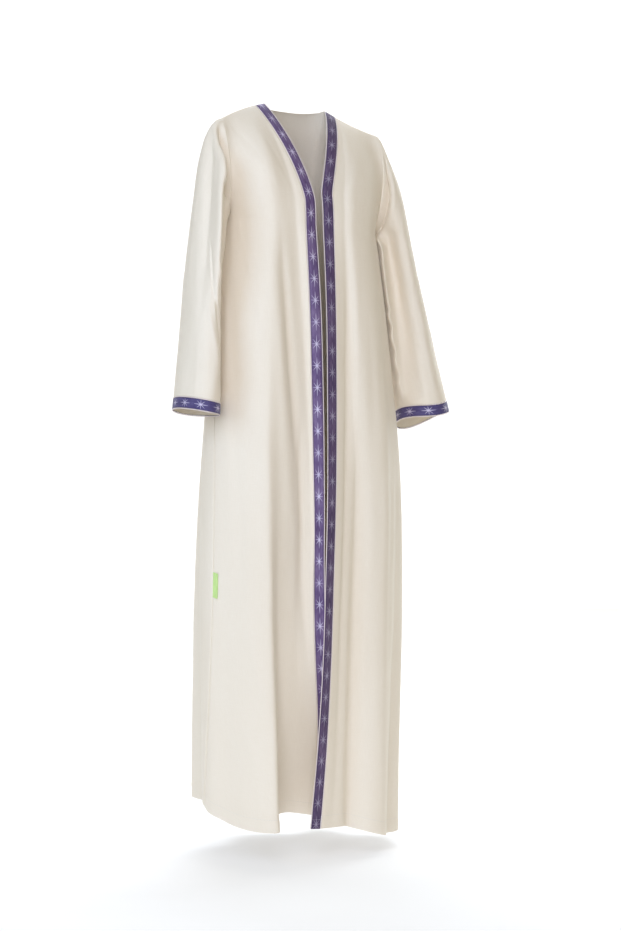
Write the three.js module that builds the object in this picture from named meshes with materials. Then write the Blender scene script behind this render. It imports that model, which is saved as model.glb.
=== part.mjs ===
import * as THREE from "three";

/* Long open-front gown with wide set-in sleeves, as worn.
   Frame: +Z up, the front faces -Y, +X is the wearer's left. Origin on the body's
   upright axis, level with the neck ends of the shoulder seams. Millimetres. */

// ---------------------------------------------------------------- driving sizes
const UNDERARM_Z = -250;        // level of the underarm points
const HEM_Z = -1489;            // mean level of the hem
const SHOULDER_TILT = 0.065;    // the wearer's left shoulder hangs lower: drop per mm of x
const CLOTH = 1.2;              // wall of the cloth
const TRIM_PROUD = 0.6;         // trim band stands above the cloth
const PIPE_PROUD = 1.1;         // piping stands above the cloth
const PIPE_W = 2.0;             // width of the piping
const BAND_W = 21.4;            // width of the band between its pipings
const GAP = 0.3;                // air left at every seam
const SLEEVE_GAP = 1.1;         // air left at the armhole seam
const NECK_END = { x: 69, y: 26, z: 0 };       // neck end of a shoulder seam
const SHOULDER_TIP = { x: 179, y: -6, z: -45 }; // arm end of a shoulder seam
const SHOULDER_SAG = { right: 4, left: -4 };    // bow of the shoulder seam
const BACK_NECK = { y: 62, z: -8 };             // middle of the back neck edge
const BACK_NECK_SHARE = 0.4;    // share of the half back taken by the neck
const FRONT_START = 3;          // angle at which a front's own edge takes over, degrees
const EDGE_SWING = { right: 32, left: 20 };     // angle by which the edge has merged into the body
const LOW_SWING = { right: 17, left: 6 };       // how much sooner it has merged below the hips
const FALL_FROM = 35, FALL_TO = 27;             // angles between which the wearer's right front falls back, degrees
const ARM_BULGE = { front: 36, back: 46 };      // fullness of the body at the armhole
const CHEST_BULGE = 6;
const BLADE_BULGE = 10;         // fullness over the shoulder blades
const CUFF_RISE = { right: 3.7, left: 16.5 };   // the front edge of each cuff stands higher than its back
const CUFF_DROP = { right: 2.3, left: 12.5 };   // both hang lower than the line over the arm
const RING_N = 20;              // steps round a sleeve; half of them run up each armhole
const LABEL = { top: -972, length: 52, width: 13, inset: 0.6, lift: 0.45, wall: 1.2 };

// the body's plan at each level: half width, depth to front and back, sideways shift, angle of the side seam
const BODY = [
  { z: -250,  half: 166, front: 114, back: 105, shift: -2, seam: 88 },
  { z: -341,  half: 178, front: 116, back: 108, shift:  0, seam: 87 },
  { z: -428,  half: 190, front: 119, back: 115, shift:  1, seam: 86 },
  { z: -562,  half: 203, front: 123, back: 130, shift:  3, seam: 83 },
  { z: -661,  half: 213, front: 126, back: 140, shift:  4, seam: 80 },
  { z: -824,  half: 222, front: 129, back: 152, shift:  4, seam: 76 },
  { z: -1032, half: 225, front: 130, back: 163, shift:  1, seam: 75 },
  { z: -1240, half: 221, front: 129, back: 172, shift: -2, seam: 80 },
  { z: -1490, half: 217, front: 127, back: 178, shift: -5, seam: 90 },
];

// where the two front edges run; low down the wearer's right front turns in behind the left one
const FRONT_EDGE = [
  { z: -250,  rx:  -10, ry:   -98, lx:    3, ly:  -101 },
  { z: -408,  rx:   -6, ry:  -112, lx:    4, ly:  -114 },
  { z: -616,  rx:   -5, ry:  -123, lx:    2, ly:  -124 },
  { z: -824,  rx:   -9, ry:  -136, lx:   -5, ly:  -138 },
  { z: -980,  rx:   -8, ry:  -134, lx:  -12, ly:  -144 },
  { z: -1136, rx:    2, ry:  -125, lx:  -17, ly:  -143 },
  { z: -1300, rx:   24, ry:   -90, lx:  -23, ly:  -133 },
  { z: -1490, rx:   42, ry:   -36, lx:  -34, ly:  -117 },
];

// how far the wearer's right front falls back beside its big fold, toward the trim
const FALL = [
  { z: -620,  x:   0, y:   0 },
  { z: -824,  x:   0, y:   2 },
  { z: -980,  x:   2, y:   9 },
  { z: -1136, x:   7, y:  24 },
  { z: -1300, x:  16, y:  52 },
  { z: -1490, x:  34, y:  92 },
];

// standing folds: angle at the start and at the hem, how the angle moves between them, angular width on
// either side, level where the fold starts, how far it stands out (+) or in (-) at the hem, how far it
// leans sideways and how fast it grows; a fold with bend under 1 runs out above the hem
const FOLDS = [
  { from:  -37, to:  -37, bend: 1, back: 16, ahead: 8, start: -140, out:  36, lean:  34, grow: 0.85 },
  { from:  -24, to:   -2, bend: 0.45, back: 10, ahead: 4.5, start: -190, out: -38, lean:   0, grow: 0.6 },
  { from:  -66, to:  -62, bend: 1, back: 11, ahead: 11, start: -600, out:  -5, lean:   0, grow: 1 },
  { from:   17, to:   19, bend: 1, back: 9, ahead: 4, start: -150, out: -30, lean:  -4, grow: 0.65 },
  { from:   36, to:   34, bend: 1, back: 11, ahead: 11, start: -160, out:  20, lean:   4, grow: 0.8 },
  { from:   54, to:   52, bend: 1, back: 8, ahead: 9, start: -520, out:  -9, lean:   0, grow: 1 },
  { from:   70, to:   69, bend: 1, back: 10, ahead: 10, start: -550, out:   9, lean:   0, grow: 1 },
  { from: -104, to: -106, bend: 1, back: 9, ahead: 9, start: -420, out: -16, lean:   0, grow: 1 },
  { from: -126, to: -127, bend: 1, back: 10, ahead: 8, start: -300, out:  22, lean:  -6, grow: 0.9 },
  { from: -147, to: -149, bend: 1, back: 9, ahead: 7, start: -340, out: -20, lean:   0, grow: 1 },
  { from: -168, to: -170, bend: 1, back: 10, ahead: 9, start: -300, out:  22, lean:   5, grow: 0.9 },
  { from:  168, to:  166, bend: 1, back: 9, ahead: 8, start: -380, out: -18, lean:   0, grow: 1 },
  { from:  147, to:  146, bend: 1, back: 8, ahead: 10, start: -300, out:  22, lean:   6, grow: 0.9 },
  { from:  124, to:  123, bend: 1, back: 9, ahead: 8, start: -400, out: -18, lean:   0, grow: 1 },
  { from:  102, to:  102, bend: 1, back: 10, ahead: 10, start: -440, out:  14, lean:   0, grow: 1 },
];
const FOLD_SHAPE = 1.8;         // power of a fold's profile across
const RUN_OUT = { from: -880, to: -1220 };

// rise of the hem above its mean level, by angle (0 front, + wearer's left)
const HEM_RISE = [
  { at: -180, up: 0 }, { at: -112, up: 26 }, { at: -92, up: 29 }, { at: -80, up: 15 }, { at: -69, up: 8 },
  { at: -60, up: 0 }, { at: -49, up: -6 }, { at: -40, up: -6 }, { at: -33, up: -2 }, { at: -26, up: 8 },
  { at: -18, up: 13 }, { at: -12, up: 11 }, { at: -6, up: 6 }, { at: -3, up: 4 }, { at: 3, up: -5 },
  { at: 8, up: -5 }, { at: 13, up: -4 }, { at: 18, up: -6 }, { at: 28, up: -16 }, { at: 38, up: -24 },
  { at: 60, up: -28 }, { at: 78, up: -22 }, { at: 90, up: -12 }, { at: 180, up: 0 },
];

// sleeves: over-arm line (ox, oz), under-arm line (ix, iz), set back y and half depth, by share of the length
const SLEEVE = {
  right: [
    { v: 0,    ox: 179, oz:  -45, ix: 166, iz: -250, y:  -6, deep: 42 },
    { v: 0.05, ox: 196, oz:  -53, ix: 171, iz: -256, y:  -7, deep: 50 },
    { v: 0.11, ox: 211, oz:  -79, ix: 177, iz: -264, y:  -8, deep: 56 },
    { v: 0.2,  ox: 224, oz: -130, ix: 184, iz: -281, y:  -9, deep: 61 },
    { v: 0.34, ox: 236, oz: -210, ix: 190, iz: -315, y: -11, deep: 66 },
    { v: 0.5,  ox: 250, oz: -305, ix: 197, iz: -374, y: -16, deep: 69 },
    { v: 0.66, ox: 265, oz: -410, ix: 203, iz: -450, y: -24, deep: 71 },
    { v: 0.82, ox: 280, oz: -522, ix: 207, iz: -545, y: -34, deep: 72 },
    { v: 1,    ox: 297, oz: -644, ix: 213, iz: -656, y: -44, deep: 74 },
  ],
  left: [
    { v: 0,    ox: 179, oz:  -45, ix: 166, iz: -250, y:  -6, deep: 42 },
    { v: 0.05, ox: 187, oz:  -54, ix: 171, iz: -256, y:  -5, deep: 50 },
    { v: 0.11, ox: 197, oz:  -80, ix: 177, iz: -264, y:  -2, deep: 56 },
    { v: 0.2,  ox: 215, oz: -130, ix: 186, iz: -281, y:   2, deep: 61 },
    { v: 0.34, ox: 236, oz: -210, ix: 192, iz: -315, y:   6, deep: 66 },
    { v: 0.5,  ox: 259, oz: -305, ix: 201, iz: -372, y:   8, deep: 69 },
    { v: 0.66, ox: 285, oz: -406, ix: 210, iz: -445, y:   4, deep: 71 },
    { v: 0.82, ox: 311, oz: -515, ix: 221, iz: -536, y:  -3, deep: 72 },
    { v: 1,    ox: 337, oz: -621, ix: 234, iz: -640, y: -12, deep: 74 },
  ],
};

const LEVELS = [-1489, -1365, -1240, -1115, -990, -870, -755, -645, -540, -445, -345, -250];
const FRONT_STEPS = 15;         // steps across a front panel
const BACK_STEPS = 26;          // steps across the back
const SLEEVE_STATIONS = [0, 0.035, 0.085, 0.16, 0.27, 0.4, 0.54, 0.68, 0.82];

// ---------------------------------------------------------------- small helpers
const RAD = Math.PI / 180;
const clamp = (x, a, b) => Math.min(b, Math.max(a, x));
const ease = (a, b, x) => { const t = clamp((x - a) / (b - a), 0, 1); return t * t * (3 - 2 * t); };
const turn = (a, b) => ((a - b + 180) % 360 + 360) % 360 - 180;

// smooth curve through one column of a table
function along(table, key, col, at) {
  const rows = [...table].sort((p, q) => p[key] - q[key]);
  const n = rows.length, X = rows.map((r) => r[key]), Y = rows.map((r) => r[col]);
  const slope = (i) => (Y[i + 1] - Y[i]) / (X[i + 1] - X[i]);
  const tangent = (i) => {
    if (i === 0) return slope(0);
    if (i === n - 1) return slope(n - 2);
    const h0 = X[i] - X[i - 1], h1 = X[i + 1] - X[i];
    return (slope(i - 1) * h1 + slope(i) * h0) / (h0 + h1);
  };
  const x = clamp(at, X[0], X[n - 1]);
  let i = 0;
  while (i < n - 2 && x >= X[i + 1]) i++;
  const h = X[i + 1] - X[i], t = (x - X[i]) / h;
  return (2 * t ** 3 - 3 * t ** 2 + 1) * Y[i] + (t ** 3 - 2 * t ** 2 + t) * h * tangent(i)
    + (-2 * t ** 3 + 3 * t ** 2) * Y[i + 1] + (t ** 3 - t ** 2) * h * tangent(i + 1);
}
const V = (x, y, z) => new THREE.Vector3(x, y, z);
const tilted = (p) => V(p.x, p.y, p.z - SHOULDER_TILT * p.x);

// points at given distances along a polyline
function atLengths(line, wanted) {
  const s = [0];
  for (let i = 1; i < line.length; i++) s.push(s[i - 1] + line[i].distanceTo(line[i - 1]));
  return wanted.map((w) => {
    const d = clamp(w, 0, s[s.length - 1]);
    let i = 0;
    while (i < s.length - 2 && s[i + 1] < d) i++;
    return line[i].clone().lerp(line[i + 1], (d - s[i]) / (s[i + 1] - s[i]));
  });
}
const lengthOf = (line) => line.slice(1).reduce((a, p, i) => a + p.distanceTo(line[i]), 0);
const share = (n) => Array.from({ length: n + 1 }, (_, i) => i / n);

// ---------------------------------------------------------------- the body's surface
function bodyPoint(deg, z) {
  const r = (c) => along(BODY, "z", c, z), s = Math.sin(deg * RAD), c = Math.cos(deg * RAD), e = 2 / 2.15;
  const half = r("half"), deep = c >= 0 ? r("front") : r("back");
  const n = V(s / half, -c / deep, 0).normalize();
  let out = 0, lean = 0;
  for (const f of FOLDS) {
    const k = clamp((f.start - z) / (f.start - HEM_Z), 0, 1.05), d = turn(deg, f.from + (f.to - f.from) * k ** f.bend);
    const fade = f.bend < 1 ? 1 - ease(0, 1, (RUN_OUT.from - z) / (RUN_OUT.from - RUN_OUT.to)) : 1;
    const g = fade * k ** f.grow * Math.exp(-(Math.abs(d / (d < 0 ? f.back : f.ahead)) ** FOLD_SHAPE));
    out += f.out * g;
    lean += f.lean * k * g;
  }
  return V(r("shift") + half * Math.sign(s) * Math.abs(s) ** e + n.x * out - n.y * lean,
    -deep * Math.sign(c) * Math.abs(c) ** e + n.y * out + n.x * lean, z);
}
function hemmed(p, deg, z) {
  const k = clamp((z - UNDERARM_Z) / (HEM_Z - UNDERARM_Z), 0, 1);
  p.z = z + along(HEM_RISE, "at", "up", turn(deg, 0)) * k ** 3;
  return p;
}
const NECK_FROM = { right: 0.2, left: 0.26 };   // share of the height at which the neck edge turns away
const neckRise = (side, t) => { const a = side < 0 ? NECK_FROM.right : NECK_FROM.left; return clamp((t - a) / (1 - a), 0, 1) ** 1.2; };
const armRise = (t) => t * (1.5 - 0.5 * t);
const roundOff = (t, power) => clamp(1 - t * t, 0, 1) ** power;
// fullness at the armhole: quick to rise at the seam itself, slow to rise further in
const bulge = (t, c = 1) => (t > 0 && t < 1 ? c ** 4 * Math.sin(Math.PI * t) ** (0.75 + 2.2 * (1 - c)) : 0);

function shoulderSeam(side, c) {
  const sag = side < 0 ? SHOULDER_SAG.right : SHOULDER_SAG.left;
  return V(side * (NECK_END.x + (SHOULDER_TIP.x - NECK_END.x) * c),
    NECK_END.y + (SHOULDER_TIP.y - NECK_END.y) * c,
    NECK_END.z + (SHOULDER_TIP.z - NECK_END.z) * c + sag * Math.sin(Math.PI * c));
}

// a front at one level, from its edge to the side seam
function frontLow(side, z, n = 90) {
  const seam = along(BODY, "z", "seam", z), word = side < 0 ? "right" : "left";
  const swing = EDGE_SWING[word] - LOW_SWING[word] * ease(0, 1, (-500 - z) / 400);
  const fall = side < 0 ? V(along(FALL, "z", "x", z), along(FALL, "z", "y", z), 0) : V(0, 0, 0);
  const ex = along(FRONT_EDGE, "z", side < 0 ? "rx" : "lx", z), ey = along(FRONT_EDGE, "z", side < 0 ? "ry" : "ly", z);
  const from = bodyPoint(side * FRONT_START, z);
  return share(n).map((q) => {
    const a = FRONT_START + (seam - FRONT_START) * q;
    const u = clamp((swing - a) / (swing - FRONT_START), 0, 1), w = u ** 1.5 * (1 + 0.5 * (1 - u));
    const p = bodyPoint(side * a, z), back = ease(0, 1, (FALL_FROM - a) / (FALL_FROM - FALL_TO));
    return hemmed(V(p.x + back * fall.x + w * (ex - from.x - fall.x), p.y + back * fall.y + w * (ey - from.y - fall.y), z), side * a, z);
  });
}
// a front between underarm and shoulder, from the neck edge to the armhole; t is the share of the height
function frontHigh(side, t, n = 90) {
  const low = frontLow(side, UNDERARM_Z), L = lengthOf(low), base = atLengths(low, share(n).map((q) => q * L));
  return share(n).map((c, i) => {
    const b = base[i], q = shoulderSeam(side, c), h = (1 - c) * neckRise(side, t) + c * armRise(t);
    return V(b.x + (q.x - b.x) * h,
      q.y + (b.y - q.y) * roundOff(t, 0.86) - ARM_BULGE.front * bulge(t, c)
        - CHEST_BULGE * Math.sin(Math.PI * t) ** 2 * Math.exp(-(((c - 0.5) / 0.25) ** 2)),
      b.z + (q.z - b.z) * t);
  });
}
function backLow(z, n = 160) {
  const seam = along(BODY, "z", "seam", z);
  const line = share(n).map((q) => { const a = -seam - (360 - 2 * seam) * q; return hemmed(bodyPoint(a, z), a, z); });
  const L = lengthOf(line);
  return atLengths(line, share(n).map((q) => q * L));
}
function backHigh(t, n = 160) {
  return backLow(UNDERARM_Z, n).map((b, i) => {
    const c = 2 * i / n - 1, a = Math.abs(c), side = c < 0 ? -1 : 1;
    let q;
    if (a >= BACK_NECK_SHARE) q = shoulderSeam(side, (a - BACK_NECK_SHARE) / (1 - BACK_NECK_SHARE));
    else {
      const u = a / BACK_NECK_SHARE * Math.PI / 2;
      q = V(side * NECK_END.x * Math.sin(u) ** 0.9, NECK_END.y + (BACK_NECK.y - NECK_END.y) * Math.cos(u) ** 0.8,
        BACK_NECK.z * Math.cos(u));
    }
    const h = (1 - a) * t + a * armRise(t);
    return V(b.x + (q.x - b.x) * h,
      q.y + (b.y - q.y) * roundOff(t, 0.8) + ARM_BULGE.back * bulge(t, a)
        + BLADE_BULGE * Math.sin(Math.PI * t) ** 2 * Math.exp(-(((a - 0.45) / 0.25) ** 2)),
      b.z + (q.z - b.z) * t);
  });
}

// ---------------------------------------------------------------- shells
// normals of a grid of points, facing out (flip turns them round)
function gridNormals(grid, flip, ringed) {
  const R = grid.length, C = grid[0].length;
  return grid.map((row, i) => row.map((_, j) => {
    const up = grid[Math.min(i + 1, R - 1)][j].clone().sub(grid[Math.max(i - 1, 0)][j]);
    const a = ringed ? grid[i][(j + 1) % C] : grid[i][Math.min(j + 1, C - 1)];
    const b = ringed ? grid[i][(j + C - 1) % C] : grid[i][Math.max(j - 1, 0)];
    return a.clone().sub(b).cross(up).normalize().multiplyScalar(flip);
  }));
}
// a closed sheet: the grid moved out by `over` and in by `under`, with its rims joined
function sheet(grid, normals, over, under, flip, ringed = false) {
  const R = grid.length, C = grid[0].length, pos = [], idx = [];
  for (const k of [over, -under]) for (let i = 0; i < R; i++) for (let j = 0; j < C; j++) {
    const p = tilted(grid[i][j].clone().addScaledVector(normals[i][j], k));
    pos.push(p.x, p.y, p.z);
  }
  const at = (k, i, j) => k * R * C + i * C + (ringed ? j % C : j);
  const quad = (a, b, c, d) => (flip > 0 ? idx.push(a, b, c, a, c, d) : idx.push(a, c, b, a, d, c));
  const J = ringed ? C : C - 1;
  for (let i = 0; i < R - 1; i++) for (let j = 0; j < J; j++) {
    quad(at(0, i, j), at(0, i, j + 1), at(0, i + 1, j + 1), at(0, i + 1, j));
    quad(at(1, i, j), at(1, i + 1, j), at(1, i + 1, j + 1), at(1, i, j + 1));
  }
  for (let j = 0; j < J; j++) {
    quad(at(0, 0, j + 1), at(0, 0, j), at(1, 0, j), at(1, 0, j + 1));
    quad(at(0, R - 1, j), at(0, R - 1, j + 1), at(1, R - 1, j + 1), at(1, R - 1, j));
  }
  if (!ringed) for (let i = 0; i < R - 1; i++) {
    quad(at(0, i, 0), at(0, i + 1, 0), at(1, i + 1, 0), at(1, i, 0));
    quad(at(0, i, C - 1), at(1, i, C - 1), at(1, i + 1, C - 1), at(0, i + 1, C - 1));
  }
  const g = new THREE.BufferGeometry();
  g.setAttribute("position", new THREE.Float32BufferAttribute(pos, 3));
  g.setIndex(idx);
  g.computeVertexNormals();
  return g;
}
const cut = (rows, from, to) => rows.map((r) => r.slice(from, to + 1));

// ---------------------------------------------------------------- materials
const mat = {
  ivory: () => new THREE.MeshStandardMaterial({ name: "ivory_cloth", color: 0xe9e3d8, roughness: 0.85 }),
  violet: () => new THREE.MeshStandardMaterial({ name: "violet_trim", color: 0x5d4b8f, roughness: 0.8 }),
  piping: () => new THREE.MeshStandardMaterial({ name: "pale_piping", color: 0xe6d2cf, roughness: 0.6 }),
  lime: () => new THREE.MeshStandardMaterial({ name: "lime_tab", color: 0xcfe896, roughness: 0.8 }),
};
const part = new THREE.Group();
part.name = "open_front_gown";
function add(name, geometry, material) {
  const mesh = new THREE.Mesh(geometry, material());
  mesh.name = name;
  part.add(mesh);
}

// ---------------------------------------------------------------- fronts, their bands and pipings
const ARM_STEPS = RING_N / 2;
const SHARES = Array.from({ length: ARM_STEPS }, (_, k) => (1 + Math.cos(Math.PI * (1 - (k + 1) / ARM_STEPS))) / 2);
const EDGE_AT = [0, PIPE_W, PIPE_W + GAP, PIPE_W + GAP + BAND_W, PIPE_W + 2 * GAP + BAND_W,
  2 * PIPE_W + 2 * GAP + BAND_W, 2 * PIPE_W + 3 * GAP + BAND_W];
const STRIPS = [
  { name: "front_piping_inner", from: 0, to: 1, proud: PIPE_PROUD, material: mat.piping },
  { name: "front_band", from: 2, to: 3, proud: TRIM_PROUD, material: mat.violet },
  { name: "front_piping_outer", from: 4, to: 5, proud: PIPE_PROUD, material: mat.piping },
];
const seamNormal = (side, z) => {
  const a = along(BODY, "z", "seam", z) * RAD, half = along(BODY, "z", "half", z);
  const deep = (along(BODY, "z", "front", z) + along(BODY, "z", "back", z)) / 2;
  return V(side * Math.sin(a) / half, -Math.cos(a) / deep, 0).normalize();
};
const shoulderNormal = (side) => {
  const d = V(side * (SHOULDER_TIP.x - NECK_END.x), 0, SHOULDER_TIP.z - NECK_END.z).normalize();
  return V(-side * d.z, 0, side * d.x);
};

for (const [word, side] of [["right", -1], ["left", 1]]) {
  const rows = [...LEVELS.map((z) => frontLow(side, z)), ...SHARES.map((t) => frontHigh(side, t))];
  const last = EDGE_AT[EDGE_AT.length - 1];
  const grid = rows.map((line) => {
    const L = lengthOf(line) - GAP / 2;
    return atLengths(line, [...EDGE_AT, ...share(FRONT_STEPS).slice(1).map((q) => last + (L - last) * q)]);
  });
  grid[grid.length - 1].forEach((p) => { p.y -= GAP / 2; });
  const N = gridNormals(grid, side, false);
  const C = grid[0].length - 1, R = grid.length - 1;
  LEVELS.forEach((z, i) => { N[i][C] = seamNormal(side, z); });
  N[R] = N[R].map(() => shoulderNormal(side));
  // neighbours across a seam share one normal, so the air between them keeps its width
  for (const row of N) for (const [a, b] of [[1, 2], [3, 4], [5, 6]]) {
    row[a] = row[b] = row[a].clone().add(row[b]).normalize();
  }
  add(`front_${word}`, sheet(cut(grid, 6, C), cut(N, 6, C), 0, CLOTH, side), mat.ivory);
  for (const s of STRIPS) {
    add(`${s.name}_${word}`, sheet(cut(grid, s.from, s.to), cut(N, s.from, s.to), s.proud, CLOTH, side), s.material);
  }
  if (side < 0) {
    const spots = share(4).map((q) => {
      const line = frontLow(side, LABEL.top - LABEL.length * q), L = lengthOf(line);
      return atLengths(line, [0, 0.5, 1].map((u) => L - LABEL.inset - LABEL.width * (1 - u)));
    }).reverse();
    add("side_label", sheet(spots, gridNormals(spots, side, false), LABEL.lift + LABEL.wall, -LABEL.lift, side), mat.lime);
  }
}

// ---------------------------------------------------------------- back
{
  const pick = (line) => share(BACK_STEPS).map((q) => {
    const u = clamp(q * (line.length - 1), 0, line.length - 1.001), i = Math.floor(u);
    return line[i].clone().lerp(line[i + 1], u - i);
  });
  const inset = (line) => { const L = lengthOf(line); return atLengths(line, share(160).map((q) => GAP / 2 + (L - GAP) * q)); };
  const grid = [...LEVELS.map((z) => pick(inset(backLow(z)))), ...SHARES.map((t) => pick(backHigh(t)))];
  const R = grid.length - 1, C = BACK_STEPS;
  grid[R].forEach((p) => { p.y += GAP / 2; });
  for (let i = LEVELS.length; i < R; i++) { grid[i][0].x += GAP / 2; grid[i][C].x -= GAP / 2; }
  const N = gridNormals(grid, 1, false);
  LEVELS.forEach((z, i) => { N[i][0] = seamNormal(-1, z); N[i][C] = seamNormal(1, z); });
  N[R] = N[R].map((n, j) => { const c = 2 * j / C - 1; return Math.abs(c) > BACK_NECK_SHARE ? shoulderNormal(Math.sign(c)) : n; });
  add("back", sheet(grid, N, 0, CLOTH, 1), mat.ivory);
}

// ---------------------------------------------------------------- sleeves and cuffs
function armhole(side) {
  const front = frontLow(side, UNDERARM_Z).pop(), all = backLow(UNDERARM_Z), back = side < 0 ? all[0] : all[all.length - 1];
  return Array.from({ length: RING_N }, (_, k) => {
    const a = 2 * Math.PI * k / RING_N, t = (1 + Math.cos(a)) / 2, ahead = Math.sin(a) >= 0, b = ahead ? front : back;
    return V(b.x + (side * SHOULDER_TIP.x - b.x) * armRise(t),
      SHOULDER_TIP.y + (b.y - SHOULDER_TIP.y) * roundOff(t, ahead ? 0.86 : 0.8)
        + (ahead ? -ARM_BULGE.front : ARM_BULGE.back) * bulge(t),
      b.z + (SHOULDER_TIP.z - b.z) * t);
  });
}
function sleeveRing(word, side, v, loop) {
  const g = (w, c) => along(SLEEVE[word], "v", c, w);
  const oval = (w) => Array.from({ length: RING_N }, (_, k) => {
    const a = 2 * Math.PI * k / RING_N, c = Math.cos(a), s = Math.sin(a);
    return V(side * ((g(w, "ox") + g(w, "ix")) / 2 + c * (g(w, "ox") - g(w, "ix")) / 2), g(w, "y") - s * g(w, "deep"),
      (g(w, "oz") + g(w, "iz")) / 2 + c * (g(w, "oz") - g(w, "iz")) / 2
        + (CUFF_RISE[word] * s - CUFF_DROP[word] * s * s) * ease(0.5, 1, w));
  });
  const ring = oval(v), start = oval(0), keep = 1 - ease(0, 0.22, v);
  return ring.map((p, k) => p.add(loop[k].clone().add(V(side * SLEEVE_GAP, 0, 0)).sub(start[k]).multiplyScalar(keep)));
}
const CUFF_STRIPS = [
  { name: "cuff_piping_upper", from: EDGE_AT[5], to: EDGE_AT[4], proud: PIPE_PROUD, material: mat.piping },
  { name: "cuff_band", from: EDGE_AT[3], to: EDGE_AT[2], proud: TRIM_PROUD, material: mat.violet },
  { name: "cuff_piping_lower", from: EDGE_AT[1], to: EDGE_AT[0], proud: PIPE_PROUD, material: mat.piping },
];
for (const [word, side] of [["right", -1], ["left", 1]]) {
  const loop = armhole(side);
  const end = sleeveRing(word, side, 1, loop), before = sleeveRing(word, side, 0.93, loop);
  const reach = (mm) => end.map((p, k) => p.clone().add(before[k].clone().sub(p).normalize().multiplyScalar(mm)));
  const rings = [...SLEEVE_STATIONS.map((v) => sleeveRing(word, side, v, loop)), reach(EDGE_AT[6])];
  add(`sleeve_${word}`, sheet(rings, gridNormals(rings, side, true), 0, CLOTH, side, true), mat.ivory);
  const cuffNormals = gridNormals([reach(EDGE_AT[6]), end], side, true)[0];
  for (const s of CUFF_STRIPS) {
    add(`${s.name}_${word}`, sheet([reach(s.from), reach(s.to)], [cuffNormals, cuffNormals], s.proud, CLOTH, side, true), s.material);
  }
}

export default part;
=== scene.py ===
import math
import bpy
import numpy as np
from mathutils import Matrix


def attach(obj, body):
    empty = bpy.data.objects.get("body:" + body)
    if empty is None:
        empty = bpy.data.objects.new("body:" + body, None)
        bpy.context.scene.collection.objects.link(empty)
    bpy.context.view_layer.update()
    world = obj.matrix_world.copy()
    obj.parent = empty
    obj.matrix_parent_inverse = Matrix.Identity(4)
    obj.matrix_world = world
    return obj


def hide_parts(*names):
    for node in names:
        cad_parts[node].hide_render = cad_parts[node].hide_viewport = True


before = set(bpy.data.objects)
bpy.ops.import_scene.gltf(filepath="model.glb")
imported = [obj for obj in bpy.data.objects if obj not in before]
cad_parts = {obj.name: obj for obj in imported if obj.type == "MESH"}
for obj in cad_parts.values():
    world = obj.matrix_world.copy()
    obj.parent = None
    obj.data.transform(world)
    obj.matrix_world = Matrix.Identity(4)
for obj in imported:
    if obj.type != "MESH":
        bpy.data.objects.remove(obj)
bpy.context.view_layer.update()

MM = 0.001

# ------------------------------------------------------------------ sizes, mm (as in the CAD model)
Z_UNDER, Z_HEM = -250.0, -1489.0
TILT = 0.065
PIPE_W, BAND_W, GAP = 2.0, 21.4, 0.3
EDGE_TRIM = 2 * PIPE_W + BAND_W + 3 * GAP
NECK_END = (69.0, 26.0, 0.0)
TIP = (179.0, -6.0, -45.0)
SAG = {-1: 4.0, 1: -4.0}
BACK_NECK = (62.0, -8.0)
NECK_SHARE = 0.40
PHI_E = 3.0
ARM_BULGE = (36.0, 46.0)
CUFF_DROP = {-1: (3.7, 2.3), 1: (16.5, 12.5)}     # how the front edge of a cuff rises and its back drops
SLEEVE_GAP = 0.0

BODY = dict(
    z    =[-250, -341, -428, -562, -661, -824, -1032, -1240, -1490],
    half =[ 166,  178,  190,  203,  213,  222,   225,   221,   217],
    front=[ 114,  116,  119,  123,  126,  129,   130,   129,   127],
    back =[ 105,  108,  115,  130,  140,  152,   163,   172,   178],
    shift=[  -2,    0,    1,    3,    4,    4,     1,    -2,    -5],
    seam =[  88,   87,   86,   83,   80,   76,    75,    80,    90],
)
EDGE = dict(
    z =[-250, -408, -616, -824, -980, -1136, -1300, -1490],
    rx=[ -10,   -6,   -5,   -9,   -8,     2,    24,    42],
    ry=[ -98, -112, -123, -136, -134,  -125,   -90,   -36],
    lx=[   3,    4,    2,   -5,  -12,   -17,   -23,   -34],
    ly=[-101, -114, -124, -138, -144,  -143,  -133,  -117],
)
# how far the part of the wearer's right front beside the trim falls back behind its big fold
FALL = dict(z=[-620, -824, -980, -1136, -1300, -1490], x=[0, 0, 2, 7, 16, 34], y=[0, 2, 9, 24, 52, 92])
# standing folds: start angle, hem angle, how the angle moves, width on either side, start level, out, lean, growth
FOLDS = [
    # wearer's right front: big ridge leaning to the middle, then a valley beside the trim
    (-37, -37, 1.0, 16, 8, -140, 36, 34, 0.85),
    (-24,  -2, 0.45, 10, 4.5, -190, -38, 0, 0.60),
    (-66, -62, 1.0, 11, 11, -600, -5, 0, 1.0),
    # wearer's left front: sharp valley beside the trim, broad ridge after it
    (17, 19, 1.0,  9, 4, -150, -30, -4, 0.65),
    (36, 34, 1.0, 11, 11, -160,  20, 4, 0.80),
    (54, 52, 1.0,  8, 9, -520,  -9, 0, 1.0),
    (70, 69, 1.0, 10, 10, -550,  9, 0, 1.0),
    # back
    (-104, -106, 1.0, 9, 9, -420, -16, 0, 1.0),
    (-126, -127, 1.0, 10, 8, -300, 22, -6, 0.9),
    (-147, -149, 1.0, 9, 7, -340, -20, 0, 1.0),
    (-168, -170, 1.0, 10, 9, -300, 22, 5, 0.9),
    (168, 166, 1.0, 9, 8, -380, -18, 0, 1.0),
    (147, 146, 1.0, 8, 10, -300, 22, 6, 0.9),
    (124, 123, 1.0, 9, 8, -400, -18, 0, 1.0),
    (102, 102, 1.0, 10, 10, -440, 14, 0, 1.0),
]
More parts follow.
